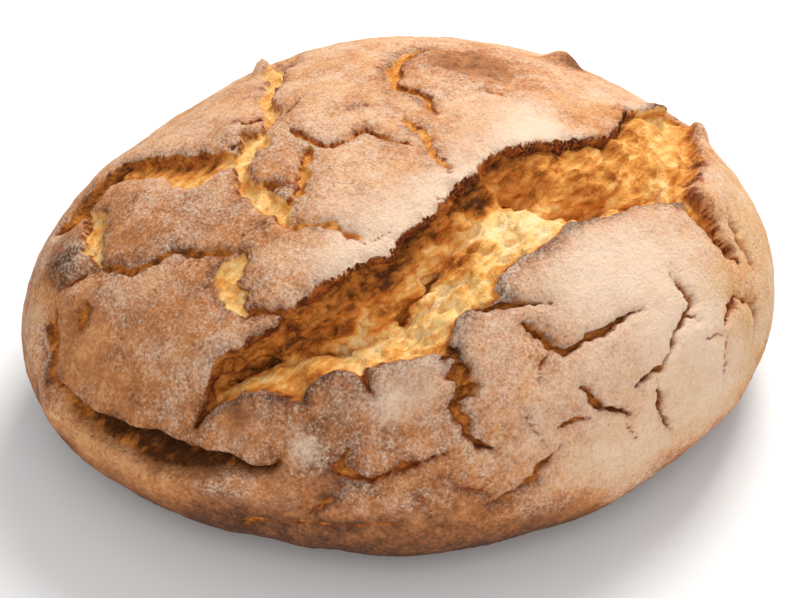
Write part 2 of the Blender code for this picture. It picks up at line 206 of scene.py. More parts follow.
@dataclass(frozen=True)
class BaseForm:
    """The loaf before it broke: a dome on a flat base, cut from a fuller underside."""

    length: float = 240.0
    width: float = 208.0
    height: float = 96.0
    belly_height: float = 30.0
    under_depth: float = 35.0
    dome_fullness: float = 2.15
    under_fullness: float = 2.6
    # Each wave round the outline: how many, how high and turned how far.
    outline_waves: tuple[tuple[int, float, float], ...] = ((3, 0.016, 3.28), (4, 0.018, 1.30))
    # None of the ball's corners lies in this direction.
    askew: tuple[float, float, float] = (0.13, 0.71, 0.69)
    tape_marks: int = 2001

    def outline_at(self, level: Array) -> tuple[Array, Array]:
        """The share of the full reach, and the height, at levels from -1 to 1.

        Args:
            level: the levels, each the sine of an angle above the middle.

        Returns:
            The shares and the heights.
        """
        fullness = np.where(level >= 0, self.dome_fullness, self.under_fullness)
        across = np.sqrt(np.clip(1 - level**2, 0, 1))
        reach = across ** (2 / fullness)
        rise = np.abs(level) ** (2 / fullness)
        over = self.belly_height + (self.height - self.belly_height) * rise
        under = self.belly_height - self.under_depth * rise
        return reach, np.where(level >= 0, over, under)

    def point(self, direction: Array) -> Array:
        """The surface in each direction from the form's middle.

        Args:
            direction: directions, one row each.

        Returns:
            The points, one row each.
        """
        direction = direction / np.linalg.norm(direction, axis=1, keepdims=True)
        reach, height = self.outline_at(np.clip(direction[:, 2], -1, 1))
        around = np.arctan2(direction[:, 1], direction[:, 0])
        waves = (size * np.cos(count * (around - turn)) for count, size, turn in self.outline_waves)
        swell = 1 + sum(waves)
        x = self.length / 2 * reach * swell * np.cos(around)
        y = self.width / 2 * reach * swell * np.sin(around)
        return np.stack((x, y, np.maximum(height, 0)), axis=1)

    def normal(self, direction: Array) -> Array:
        """The outward normal in each direction, from two small steps over the form.

        Args:
            direction: unit directions, one row each.

        Returns:
            The unit normals, one row each.
        """
        step = 0.004
        side = np.cross(direction, self.askew)
        side /= np.linalg.norm(side, axis=1, keepdims=True)
        other = np.cross(direction, side)
        first = self.point(direction + step * side) - self.point(direction - step * side)
        second = self.point(direction + step * other) - self.point(direction - step * other)
        normal = np.cross(first, second)
        return normal / np.maximum(np.linalg.norm(normal, axis=1, keepdims=True), 1e-9)

    def tape(self) -> tuple[Array, Array]:
        """The angle from the crown, and the tape's length to it over the mean outline.

        Returns:
            The angles and the lengths, from the crown on.
        """
        angle = np.linspace(0, math.pi, self.tape_marks)
        reach, height = self.outline_at(np.cos(angle))
        mean_reach = (self.length + self.width) / 4
        run = np.hypot(np.diff(mean_reach * reach), np.diff(height))
        return angle, np.concatenate(([0.0], np.cumsum(run)))

    def place_of(self, direction: Array) -> Array:
        """The (right, back) place on the tape of each direction.

        Args:
            direction: unit directions, one row each.

        Returns:
            The places, one row each.
        """
        angle = np.arccos(np.clip(direction[:, 2], -1, 1))
        length = np.interp(angle, *self.tape())
        around = np.arctan2(direction[:, 1], direction[:, 0])
        return np.stack((length * np.cos(around), length * np.sin(around)), axis=1)

    def direction_of(self, place: Array) -> Array:
        """The direction of each (right, back) place on the tape.

        Args:
            place: the places, one row each.

        Returns:
            The unit directions, one row each.
        """
        length = np.hypot(place[:, 0], place[:, 1]) + 1e-9
        angle, tape_length = self.tape()
        angle = np.interp(length, tape_length, angle)
        sine = np.sin(angle) / length
        return np.stack((sine * place[:, 0], sine * place[:, 1], np.cos(angle)), axis=1)


class Inside(Enum):
    """What shows in a break, as its share of pale crumb against brown crust."""

    BROWN = 0.26
    ORANGE = 0.44
    YELLOW = 0.66


@dataclass(frozen=True)
class Opening:
    """A wide break where one lip has risen: its two lips and its shape inside.

    Stations give, from left to right, the place along the break, the depth of its valley,
    how far the valley lies from the raised lip, the far floor's slope, how pale the crumb
    is, and how far from the raised lip the crumb is darkened brown, partly toasted and partly
    painted shade of the lip's shadow. The raised lip's edge is charred, the low lip's brink
    may be darker too, and a slot opens here and there along the valley.
    The crumb is more or less rough, and crust turns to crumb over a short way in from the
    low lip.
    """

    raised_lip: tuple[Place, ...]
    low_lip: tuple[Place, ...]
    stations: tuple[tuple[float, float, float, float, float, float], ...]
    lip_height: float
    overhang: float
    dip: float
    lean: Place
    char: float
    brink: float
    slot_depth: float
    roughness: float
    brink_fade: float

    def leant_back(self) -> list[Place]:
        """The raised lip's course before its overhang carries it forward."""
        right, back = (self.overhang * part for part in self.lean)
        return [(stop[0] - right, stop[1] - back) for stop in self.raised_lip]

    def reaches(self, place: Array) -> tuple[Array, Array, Array, Array]:
        """Measures places against the opening.

        Args:
            place: the places, one row each.

        Returns:
            Whether each place is inside, its distances from the raised and the low lip,
            and its distance from the opening: below 0 inside.
        """
        raised = self.leant_back()
        inside = inside_outline(place, raised + list(self.low_lip))
        from_raised, *_ = near_course(place, raised)
        from_low, *_ = near_course(place, self.low_lip)
        away = np.where(inside, -1, 1) * np.minimum(from_raised, from_low)
        return inside, from_raised, from_low, away


@dataclass(frozen=True)
class Crack:
    """A narrow break: its course, its widths, its depth and what it shows.

    The widths are spaced evenly along the course. One side may be soft: the floor climbs
    out over so many millimetres, to the left of the course's way, or to the right where
    the number is negative.
    """

    course: tuple[Place, ...]
    widths: tuple[float, ...]
    depth: float
    shows: Inside = Inside.BROWN
    soft: float = 0.0


@dataclass(frozen=True)
class Spot:
    """A soft round change to the crust or crumb: where it is, its reach and its amount."""

    right: float
    back: float
    reach: float
    amount: float

    def at(self, place: Array) -> Array:
        """The change at each place."""
        away = np.hypot(place[:, 0] - self.right, place[:, 1] - self.back)
        return self.amount * ease(1 - away / (2 * self.reach))


def spots(*rows: tuple[float, float, float, float]) -> tuple[Spot, ...]:
    """Spots from rows that give where each is, its reach and its amount."""
    return tuple(Spot(*row) for row in rows)


SPLIT = Opening(
    raised_lip=(
        (107, 13), (101, 13), (95, 7), (90, 1), (80, 1), (71, -4), (66, -10), (61, -16), (55, -21),
        (44, -22), (34, -21.5), (23, -23), (15, -26), (7, -32), (0, -36), (-4, -40), (-12, -44),
        (-17, -46), (-22, -49), (-26, -53), (-33, -52.5), (-40, -53), (-48, -54), (-56, -56),
        (-64, -59), (-71, -58.5), (-78, -58), (-84, -59), (-90, -65), (-97, -71),
    ),
    low_lip=(
        (-97, -71), (-85, -71), (-80, -72), (-74, -75), (-68, -81), (-64, -85), (-60, -80),
        (-54, -80.5), (-49, -83.5), (-47, -88), (-44, -84), (-34, -87), (-26, -88.5), (-22, -91),
        (-18, -83), (-14, -80), (-8, -80), (-2, -78), (-3, -75), (0, -71.5), (4.5, -69.5),
        (10, -67), (16, -66), (19.5, -63.5), (26.5, -59.5), (31.5, -58.5), (41, -57), (49, -54.5),
        (57.5, -52.7), (63, -53), (70, -52), (73, -47), (79, -40), (87, -30), (94, -18), (99, -6),
        (105, 3), (107, 13),
    ),
    stations=(
        (-97, 6, 5, 1, 0.5, 1), (-80, 12, 7, 1, 0.55, 3), (-60, 14, 7, 0.8, 0.6, 8),
        (-50, 16, 14, 1.2, 0.65, 9), (-36, 16, 13, 0.9, 0.7, 7), (-24, 16, 13, 0.75, 0.75, 5),
        (-10, 15, 11, 0.55, 0.78, 4), (4, 14, 12, 0.5, 0.84, 6), (20, 13, 10, 0.4, 0.84, 4),
        (28, 12, 22, 0.8, 0.7, 2), (40, 12, 25, 1.1, 0.6, 1), (58, 9, 22, 1.1, 0.6, 4),
        (74, 7, 18, 1, 0.6, -6), (107, 3, 8, 0.8, 0.58, -6),
    ),
    lip_height=5,
    overhang=2.6,
    dip=1.8,
    lean=(0.37, -0.93),
    char=1,
    brink=1,
    slot_depth=7,
    roughness=1,
    brink_fade=0.6,
)

TEAR = Opening(
    raised_lip=(
        (-76, -94), (-79, -97), (-84, -96.5), (-88, -92.5), (-91, -87), (-97, -80.5), (-103, -71.5),
        (-110, -61.5), (-114, -57), (-117, -50), (-123, -38), (-125, -30), (-130, -17),
    ),
    low_lip=(
        (-130, -17), (-136, -24), (-136, -30), (-133, -40), (-131, -50), (-126, -60), (-124, -69),
        (-119, -75), (-113, -80), (-107, -84), (-101, -88), (-96, -91), (-93, -94), (-87, -98),
        (-82, -99), (-78, -98), (-76, -94),
    ),
    # The tear's crumb is nearly as dark as the crumb gets: painted shade of its deep, overhung inside.
    stations=(
        (-136, 4, 2, 1, 0.2, 0), (-122, 10, 3, 0.9, 0.04, 0), (-105, 12, 3, 0.9, 0, 0),
        (-92, 7, 2, 1.1, 0.02, 0), (-76, 2, 1, 1, 0.06, 0),
    ),
    lip_height=3,
    overhang=2.6,
    dip=1.8,
    lean=(-0.75, -0.66),
    char=0.6,
    brink=0,
    slot_depth=1,
    roughness=0.35,
    brink_fade=1.6,
)

VALLEY = Opening(
    raised_lip=(
        (-45, 11), (-48, 17), (-52, 20), (-54, 24), (-58, 27), (-62, 33), (-67, 39), (-70, 41),
        (-75, 48), (-80, 48), (-86, 47), (-92, 45), (-97, 42), (-104, 40),
    ),
    low_lip=(
        (-104, 40), (-101, 33), (-96, 27), (-90, 30), (-85, 34), (-81, 35), (-77, 33), (-71, 26),
        (-67, 21), (-67, 15), (-64, 11), (-61, 8), (-57, 7), (-53, 9), (-50, 8), (-45, 11),
    ),
    stations=(
        (-104, 4, 3, 0.3, 0.3, 3), (-86, 5, 3, 0.25, 0.36, 2), (-66, 4, 3, 0.2, 0.45, 2),
        (-45, 3, 2, 0.2, 0.7, 0),
    ),
    lip_height=2.2,
    overhang=1,
    dip=0.4,
    lean=(-0.7, -0.7),
    char=0.35,
    brink=0,
    slot_depth=0,
    roughness=0.35,
    brink_fade=2.5,
)

CROWN_CRACKS = (
    Crack(
        ((-13, 80), (-15, 71), (-20, 63), (-25, 55), (-29, 46), (-31, 36), (-32, 28), (-35, 22)),
        (8, 6, 4.5, 5, 3.5, 3, 4), 3.6, Inside.YELLOW, -1.5,
    ),
    Crack(
        ((-35, 22), (-41, 16), (-46, 7), (-49, -3), (-47, -12), (-46, -20), (-47, -28)),
        (5, 11, 7, 4, 4, 6, 5, 3), 3.4, Inside.YELLOW, 1.5,
    ),
    Crack(((-33, 27), (-38, 27), (-43, 30)), (2, 1.6), 2.6, Inside.ORANGE),
    Crack(((-48, -6), (-43, -9), (-39, -13)), (3, 4, 3), 4, Inside.ORANGE),
    Crack(((-30, 17), (-24, 2), (-19, 1), (-11, 3), (-2, -11)), (2, 1.4), 2.8, Inside.ORANGE, -1.5),
    Crack(
        ((27, 52), (16, 44), (11, 35), (6, 24), (12, 14), (11, 2)),
        (2.6, 2.4), 2.6, Inside.ORANGE, -3,
    ),
    Crack(((1, 5), (3, -6), (2, -23), (1, -28)), (2.4, 1.6), 2.4, Inside.ORANGE, -2),
    Crack(((30, 11), (36, 6)), (1.8, 1.5), 2.2),
    Crack(
        ((-26, 6), (-30, -2), (-34, -7), (-39, -15), (-44, -21)),
        (1.6, 2.2, 2.6, 4, 4), 2.8, Inside.ORANGE, 1,
    ),
    Crack(((-47, -28), (-36, -34), (-30, -46)), (2.2, 1.8), 2.8, Inside.ORANGE),
)

LEFT_CRACKS = (
    Crack(((-91, 31), (-90, 22), (-93, 12), (-96, 2)), (4, 5, 6, 4), 2.8, Inside.YELLOW, 1.5),
    Crack(((-95, 1), (-88, -11), (-76, -14), (-70, -22), (-60, -29)), (3, 2), 2.8),
    Crack(((-60, -29), (-66, -34), (-69, -40), (-69, -49)), (5, 5), 3.8, Inside.YELLOW, -3),
    Crack(((-69, -49), (-60, -54), (-50, -58)), (5, 2), 5),
    Crack(((-130, -17), (-126, -13), (-122, -7), (-118, -1), (-113, 2)), (4, 3), 3.5, Inside.BROWN, 6),
    Crack(((-99, 3), (-105, 4), (-109, 9)), (3.5, 2), 3),
    Crack(((-105, -10), (-111, -12)), (6, 5), 3.2, Inside.BROWN, 4),
)

FRONT_CRACKS = (
    Crack(((-47, -83), (-46, -94)), (3, 2), 3.2),
    Crack(((-21, -84), (-20, -100), (-25, -104), (-23, -116), (-19, -120)), (6, 3), 4),
    Crack(((-10, -79), (11, -84)), (5, 1.5), 4),
    Crack(((-58, -103), (-64, -108), (-57, -115), (-33, -117)), (3.4, 1.6), 3.2),
    Crack(((1, -88), (6, -97), (10, -100), (37, -92)), (3, 1.6), 3.4),
    Crack(((52, -80), (57, -90), (47, -102), (43, -109), (31, -115)), (2, 3), 3),
    Crack(((40, -113), (43, -125), (49, -131)), (2.6, 1.8), 2.8),
    Crack(((13, -111), (18, -118), (29, -122)), (3, 2), 3),
    Crack(((3, -125), (-8, -133), (-23, -137)), (2.8, 1.6), 2.8),
    Crack(((72, -98), (77, -86), (89, -86), (95, -97)), (2.4, 2), 2.8, Inside.ORANGE),
    Crack(((71, -48), (75, -58), (80, -67), (84, -72)), (7, 3), 5, Inside.ORANGE, -5),
    Crack(((86, -52), (88, -64), (93, -75)), (3, 2.4), 2.6, Inside.ORANGE),
)

HAIRLINES = (
    Crack(((-30, 26), (-24, 32)), (2.4, 1.6), 2.2),
    Crack(((-7, -37), (-2, -37)), (1.6, 1.2), 1.6, Inside.ORANGE),
    Crack(((-30, -46), (-23, -44)), (1, 0.6), 1.2),
    Crack(((-46, -6), (-42, -7), (-38, -12)), (3, 2.4), 2.4),
    Crack(((-14, 17), (-10, 18), (-6, 15)), (0.8, 0.8), 0.9),
    Crack(((-58, -23), (-51, -22)), (1.2, 0.8), 1.2),
    Crack(((-64, -112), (-69, -114), (-81, -117)), (1.6, 1.2), 1.8),
    Crack(((-96, -113), (-83, -119), (-73, -125), (-52, -131)), (1, 0.8), 1),
    Crack(((5, -99), (2, -102), (0, -105)), (1.8, 1.2), 1.8),
    Crack(((57, -91), (53, -94), (60, -97)), (1.4, 1), 1.5),
    Crack(((27, -125), (31, -130)), (1, 0.8), 1),
    Crack(((2, -120), (9, -120), (15, -121)), (1.6, 1.2), 1.6),
    Crack(((-22, -134), (-31, -128), (-36, -122)), (1.2, 0.8), 1.2),
    Crack(((-7, -114), (-4, -123)), (1.2, 0.8), 1.3),
    Crack(((-44, -125), (-43, -133)), (1.2, 1), 1.3),
    Crack(((-41, -138), (-36, -141)), (1.2, 0.8), 1.2),
    Crack(((72, -98), (71, -106), (73, -114)), (1.6, 1.2), 1.6),
    Crack(((72, -99), (66, -100), (61, -102)), (1.2, 0.8), 1.2),
    Crack(((-110, -108), (-103, -108), (-97, -111)), (1.5, 3, 1.5), 2.4),
)

TIPS = spots(
    (-20.5, 71, 3.5, 5.5), (-11, 78, 3.5, -3), (-78, 53, 8, 1.5), (-76, 41, 2.5, 3), (73, 43, 5, 4),
    (88, 2, 4, 3.5), (101, -4, 4, 3.5), (-41, 27, 6, 1.6), (-107, -3, 6, 2.2), (-103, 17, 8, 1.5),
    (-140, -14, 7, 2.5), (77, -52, 6, 2), (84, -38, 7, 1.5),
)

CRUMB_LUMPS = spots(
    (-1, -54, 5, 4), (-14, -47, 4, 2), (42, -36, 10, 3), (23, -33, 5, -4), (-12, -57, 4, -2.5),
    (-51, -70, 5, -2.5), (-61, -63, 4, -2), (72, -30, 8, 1.5),
)

CRUMB_PATCHES = spots(
    (-1, -55, 5, -0.3), (-14, -47, 4, -0.2), (42, -36, 9, -0.12), (4, -49, 5, 0.2),
    (23, -35, 6, -0.6), (9, -38, 4, -0.25), (-7, -58, 5, -0.42), (34, -52, 4, -0.25),
    (-68, -78, 5, -0.25), (-20, -86, 5, -0.3), (20, -50, 10, 0.18), (-75, -68, 9, 0.1),
    (-33, -81, 5, -0.24), (2, -68, 5, -0.24), (32, -29, 5, -0.2), (-29, -63, 7, -0.2),
    (-17, -65, 4, 0.2), (-21, -82, 4, 0.2), (67, -13, 5, -0.2), (60, -31, 5, -0.15),
    (51, -47, 4, 0.25), (69, -41, 5, 0.25),
)


@dataclass(frozen=True)
class FarSide:
    """The unseen side's cracks: each steps on from its start, turning a little each time."""

    starts: tuple[tuple[float, float, float], ...] = (
        (40, 88, 75), (5, 96, 100), (-45, 92, 130), (82, 60, 40), (-88, 78, 150), (24, 128, 15),
        (-28, 126, 165), (66, 112, 60), (108, 48, 80), (-118, 52, 110),
    )
    step: float = 9.0
    turn: float = 38.0
    steps: tuple[int, int] = (3, 6)
    widths: Place = (1.8, 4.0)
    end_width: float = 1.4
    seed: int = 11
    fine_step: float = 6.0
    fine_steps: tuple[int, int] = (2, 3)
    fine_widths: Place = (1.6, 0.8)
    branch_turn: Place = (50.0, 110.0)
    hairline_seed: int = 5

    def cracks(self) -> Iterator[Crack]:
        """The cracks, one for each start.

        Returns:
            The cracks, in the order of their starts.
        """
        chance = random.Random(self.seed)
        for right, back, way in self.starts:
            course = self.course(chance, (right, back), way, self.step, self.steps)
            width = chance.uniform(*self.widths)
            yield Crack(course, (width, self.end_width), self.end_width + 0.6 * width)

    def hairlines(self) -> Iterator[Crack]:
        """Fine branches, one from the middle of each crack and one on from its end.

        Returns:
            The branches, in the order of the cracks.
        """
        chance = random.Random(self.hairline_seed)
        for crack in self.cracks():
            for right, back in (crack.course[len(crack.course) // 2], crack.course[-1]):
                away = math.degrees(math.atan2(back, right))
                way = away + chance.choice((-1, 1)) * chance.uniform(*self.branch_turn)
                course = self.course(chance, (right, back), way, self.fine_step, self.fine_steps)
                yield Crack(course, self.fine_widths, self.fine_widths[0])

    def course(self, chance: random.Random, start: Place, way: float, step: float,
               steps: tuple[int, int]) -> tuple[Place, ...]:
        """Some steps from a start over the crust, each turned a little from the last.

        Args:
            chance: where the turns come from.
            start: the first place.
            way: the way to it, in degrees from the right.
            step: how long a step is.
            steps: the fewest and the most steps.

        Returns:
            The places, the start among them.
        """
        right, back = start
        stops = [start]
        for _ in range(chance.randint(*steps)):
            way += chance.uniform(-self.turn, self.turn)
            right += step * math.cos(math.radians(way))
            back += step * math.sin(math.radians(way))
            stops.append((right, back))
        return tuple(stops)


@dataclass
class Opened:
    """What an opening does at each place: its relief, and the looks of its crumb and rims."""

    sunk: Array
    shift: Array
    away: Array
    torn: Array
    bare: Array
    rimless: Array
    slot: Array
    pale: Array
    toast_and_shade: Array
    char: Array
    tone: Array
    flour: Array


@dataclass
class Surface:
    """The loaf's surface at a set of directions, with what each point is made of."""

    points: Array
    nearest: Array
    crumb: Array
    roughness: Array
    into: Array
    bare: Array
    cleft: Array
    pale: Array
    toast_and_shade: Array
    char: Array
    flour: Array
    tone: Array
    near_edge: Array


@dataclass(frozen=True)
class Breaks:
    """How the crust breaks, and the relief that goes with it."""

    form: BaseForm = field(default_factory=BaseForm)
    openings: tuple[Opening, ...] = (SPLIT, TEAR, VALLEY)
    cracks: tuple[Crack, ...] = (
        *CROWN_CRACKS, *LEFT_CRACKS, *FRONT_CRACKS, *FarSide().cracks(), *HAIRLINES,
        *FarSide().hairlines(),
    )
    crust_swells: Swells = ((46.0, 1.5, 3), (17.0, 0.7, 5), (7.0, 0.35, 8))
    crust_grit: Swells = ((2.6, 0.22, 11), (1.3, 0.12, 14))
    crumb_swells: Swells = ((13.0, 3.0, 55), (5.0, 1.4, 58))
    clumps: Swells = ((4.2, 0.7, 64), (2.0, 0.3, 67))
    torn_grit: Swells = ((2.8, 0.5, 101), (1.3, 0.3, 104))
    big_clumps: Swells = ((9.0, 5.0, 61),)
    gap_grit: Swells = ((3.0, 0.7, 71), (1.4, 0.5, 74))
    face_swells: Swells = ((5.0, 0.7, 77), (2.0, 0.3, 79))
    ledges: Swells = ((4.2, 4.2, 111), (2.0, 1.8, 114))
    ledge_stretch: float = 3.5
    wanders: Swells = ((11.0, 1.1, 21), (4.0, 0.9, 34), (1.7, 0.3, 37))
    width_swells: Swells = ((9.0, 0.6, 41), (3.0, 0.8, 44))
    layer_size: float = 3.2
    layer_height: float = 1.7
    layer_stretch: float = 4.5
    pit_spacing: float = 6.5
    pit_depth: float = 1.4
    crust_thickness: float = 2.8
    # How brown the crumb is under a raised lip: partly toasted, partly painted shade of the lip's
    # shadow.
    brown_and_shaded_crumb: float = 0.215
    crack_wall: float = 0.6
    crack_taper: float = 6.0
    # A crack's width at its ends, as a share of what it is elsewhere.
    crack_end: float = 0.45
    # The crust's sheer wall just under a raised lip, measured over the crust.
    lip_wall: float = 1.2
    edge_tone_reach: float = 1.6
    edge_roll: float = 0.4
    edge_roll_reach: float = 0.9
    plate_rise: float = 0.6
    plate_rise_reach: float = 5.0
    lip_dip_reach: float = 13.0
    low_lip_curl: float = 2.4
    low_lip_curl_reach: float = 4.5
    relief_fade_height: float = 9.0

    def wander(self, place: Array, points: Array) -> Array:
        """The places, strayed sideways a little so that straight courses break unevenly.

        Args:
            place: the places, one row each.
            points: the base form's points there.

        Returns:
            The strayed places.
        """
        strayed = place.copy()
        for size, stray, seed in self.wanders:
            strayed[:, 0] += stray * bumps(points, size, seed)
            strayed[:, 1] += stray * bumps(points, size, seed + 1)
        return strayed

    def open_up(self, opening: Opening, place: Array, points: Array) -> Opened:
        """What an opening does at each place.

        Args:
            opening: the split, the tear or the valley.
            place: the places, one row each.
            points: the base form's points there.

        Returns:
            The opening's relief and looks at each place.
        """
        # Where a distance is divided by a number, something fades over so many millimetres.
        inside, from_raised, from_low, away = opening.reaches(place)
        right = place[:, 0]
        at, *columns = np.array(opening.stations, float).T
        depth, run, slope, pale, baked_and_shaded = (np.interp(right, at, column) for column in columns)
        # The rear wall: sheer under the raised lip, then down to the valley.
        lip = np.minimum(opening.lip_height, 0.7 * depth)
        rear = lip * ease(from_raised / self.lip_wall)
        rear += (depth - lip) * ease((from_raised - self.lip_wall) / run)
        front = self.crust_thickness * ease(from_low) + slope * from_low
        # Slots open where the two walls meet, in the deeper parts.
        gappy = patchy(points, 13.0, 91, 0.75, 1.8, 0, 1) * ease((depth - 4) / 6)
        slot = opening.slot_depth * gappy * bell(rear - front, 1.8)
        sunk = softer_least(rear, front, 1.4) + slot * ease(from_low / 3)
        # The raised lip is carried forward, and its face under it back.
        signed = np.where(inside, from_raised, -from_raised)
        carried = np.interp(signed, (-18, -7, 0, 1.2, 3.2, 9), (0, 0.25, 1, 1, -0.8, 0))
        # The overhang fades where the two lips meet, or it would fold over the low lip.
        carried *= opening.overhang * ease(from_low / 9.0)
        face = bell(signed - 1.6, 1.8) * ease(from_low / 6.0)
        carried += face * self.relief(points, self.face_swells)
        # Outside, the crust dips behind the raised lip and curls up at the low one.
        behind = from_raised / self.lip_dip_reach
        dip = opening.dip * behind * np.exp(1 - behind) * ease(from_low / 14.0)
        curl = self.low_lip_curl * patchy(points, 12.0, 95, 0.75, 1.2, 0.3, 1.4)
        curl *= np.exp(-from_low / self.low_lip_curl_reach) * ease(from_raised / 14.0)
        # The crumb is darker brown for some way under the raised lip, partly toasted and partly painted
        # shade of the lip's shadow, and pale beyond.
        uneven = bumps(points, 5.0, 93)
        beyond = from_raised - baked_and_shaded + 3 * uneven + 5 * bumps(points, 10.0, 99)
        brown_and_shaded = np.minimum(self.brown_and_shaded_crumb, pale)
        pale = brown_and_shaded + (pale - brown_and_shaded) * ease(beyond / 8)
        paler = (1.3 - 0.8 * opening.brink, 1.2 - 0.5 * opening.brink, 1)
        pale *= np.interp(from_low + 2 * uneven, (0, 0.8, 3), paler)
        # Char and flour run on past the lips; the shader ends them there, finer than the facets.
        charred = patchy(points, 6.0, 98, 0.65, 1.1, 0.2, 1) * ease(0.5 + (from_low - from_raised) / 4)
        charred *= np.interp(right, (-86, -62, 68, 84), (0.6, 1, 1, 0.35))
        rim = bell(from_low, np.where(inside, 1.3, 0.8) * np.interp(right, (62, 76), (1, 2.2)))
        rim *= np.interp(right, (60, 74), (1, 1.5))
        brink_tone = opening.brink * bell(from_low, 5.0) * ease(from_raised / 8.0)
        brink_tone *= np.interp(right, (30, 45, 66, 80), (1, 0.8, 0.7, 0.3))
        dusted = 0.9 * opening.brink * np.exp(-from_raised / 7.0) * ease(from_low / 9)
        bare_from = 1 - min(opening.brink_fade, 1)
        return Opened(
            sunk=np.where(inside, sunk, dip - curl),
            shift=carried[:, None] * np.array(opening.lean),
            away=away,
            torn=inside * ease(from_raised / 0.6) * ease(from_low / opening.brink_fade),
            bare=ease((from_low + bare_from) / opening.brink_fade),
            rimless=(1 - opening.brink) * (from_low < from_raised) * ease(1.3 - from_low / 8),
            # Where the slots are, so that their crumb can be darkened as painted shade.
            slot=inside * gappy * bell(rear - front, 2.5) * ease(from_low / 4),
            pale=pale,
            toast_and_shade=0.5 * opening.brink * rim * np.clip(0.5 + 2 * uneven, 0, 1),
            char=opening.char * charred,
            tone=0.8 * brink_tone,
            flour=(1 + dusted) * (1 + brink_tone * np.interp(right, (-10, 10), (0.1, -0.45))),
        )

    def part_crack(self, crack: Crack, place: Array,
                   swell: Array | float) -> tuple[Array, Array, Array]:
        """What a crack does at each place.

        Args:
            crack: the crack.
            place: the places, one row each.
            swell: how much wider or narrower the crack is there.

        Returns:
            The share of its depth, the distance from its edge, and how far in the
            place lies from its sharp edge.
        """
        distance, share, side = near_course(place, crack.course)
        runs = np.diff(np.array(crack.course, float), axis=0)
        length = np.hypot(runs[:, 0], runs[:, 1]).sum()
        from_end = ease(np.minimum(share, 1 - share) * length / self.crack_taper)
        stops = np.linspace(0, 1, len(crack.widths))
        half = np.interp(share, stops, crack.widths) / 2 * swell
        half = half * (self.crack_end + (1 - self.crack_end) * from_end)
        soft = abs(crack.soft) * from_end
        across = distance * side * (1 if crack.soft >= 0 else -1)
        from_sharp = half + across
        from_soft = half + soft - across
        depth = ease(from_sharp / self.crack_wall) * ease(from_soft / (self.crack_wall + soft))
        return depth, np.maximum(-from_sharp, -from_soft), from_sharp

    def distance(self, direction: Array) -> Array:
        """How far each direction's place lies from the nearest break: below 0 inside one.

        Args:
            direction: unit directions, one row each.

        Returns:
            The distances.
        """
        place = self.form.place_of(direction)
        away = [opening.reaches(place)[-1] for opening in self.openings]
        away += [self.part_crack(crack, place, 1.0)[1] for crack in self.cracks]
        return np.min(away, axis=0)

    def relief(self, points: Array, swells: Swells) -> Array:
        """How far a set of swells rises at each point."""
        return sum(rise * bumps(points, size, seed) for size, rise, seed in swells)

    def creased(self, points: Array, swells: Swells) -> Array:
        """How far clumps rise between the creases that part them."""
        return sum(rise * (np.abs(bumps(points, size, seed)) - 0.2) for size, rise, seed in swells)

    def roughen(self, surface: Surface, normals: Array) -> None:
        """Gives the surface its grain, straight out from wherever it faces.

        Args:
            surface: the surface, which is changed.
            normals: its outward normals.
        """
        points = surface.points.copy()
        rise = self.relief(points, self.crust_grit)
        # Only crumb is worked on below, as the rest would take long and stay as it is.
        torn = np.flatnonzero(surface.crumb > 0.02)
        clumped = self.creased(points[torn], self.clumps) + self.relief(points[torn], self.torn_grit)
        clumped *= patchy(points[torn], 17.0, 97, 0.8, 1.8, 0.2, 1.4)
        # Where the crumb stands steep it tears in ledges that run along the split.
        layers = drawn_out(points[torn], SPLIT_TURN, self.ledge_stretch)
        ledged = self.creased(layers, self.ledges)
        clumped += (ledged - clumped) * ease((0.75 - normals[torn, 2]) / 0.4)
        clumped *= ease(-surface.nearest[torn] / 2.5)
        clumped *= surface.roughness[torn]
        rise[torn] += (clumped - rise[torn]) * surface.crumb[torn]
        surface.pale[torn] = toasted(surface.pale[torn], 0.16 * clumped * surface.crumb[torn])
        rise *= ease(points[:, 2] / self.relief_fade_height)
        surface.points = points + rise[:, None] * normals

    def torn_relief(self, place: Array, points: Array) -> Array:
        """The relief of torn crumb: layers along the split, clumps with creases, and pits.

        Args:
            place: the places, one row each.
            points: the base form's points there.

        Returns:
            How far the crumb rises.
        """
        layers = stretched(place, points, SPLIT_TURN, self.layer_stretch)
        relief = self.layer_height * bumps(layers, self.layer_size, 81)
        relief += self.creased(points, self.big_clumps)
        nearest = [noise.voronoi(Vector(point) / self.pit_spacing)[0][0] for point in points]
        return relief - self.pit_depth * ease(1 - np.array(nearest) / 0.4)

    def surface(self, direction: Array) -> Surface:
        """The finished surface in each direction from the middle of the ball.

        Args:
            direction: unit directions, one row each.

        Returns:
            The surface there, in millimetres.
        """
        points = self.form.point(direction)
        straight = self.form.place_of(direction)
        place = self.wander(straight, points)
        count = len(points)
        sunk, pale, toast_and_shade, gap, char, bare = (np.zeros(count) for _ in range(6))
        shift = np.zeros((count, 2))
        nearest = np.full(count, FAR_OFF)
        into = np.full(count, -FAR_OFF)
        opened_share, rimless, roughness = np.zeros(count), np.zeros(count), np.ones(count)
        flour = FLOURING.amount(straight, points)
        tone = BAKING_AND_LOW_SHADE.amount(straight, points)
        for opening in self.openings:
            opened = self.open_up(opening, place, points)
            sunk += opened.sunk
            shift += opened.shift
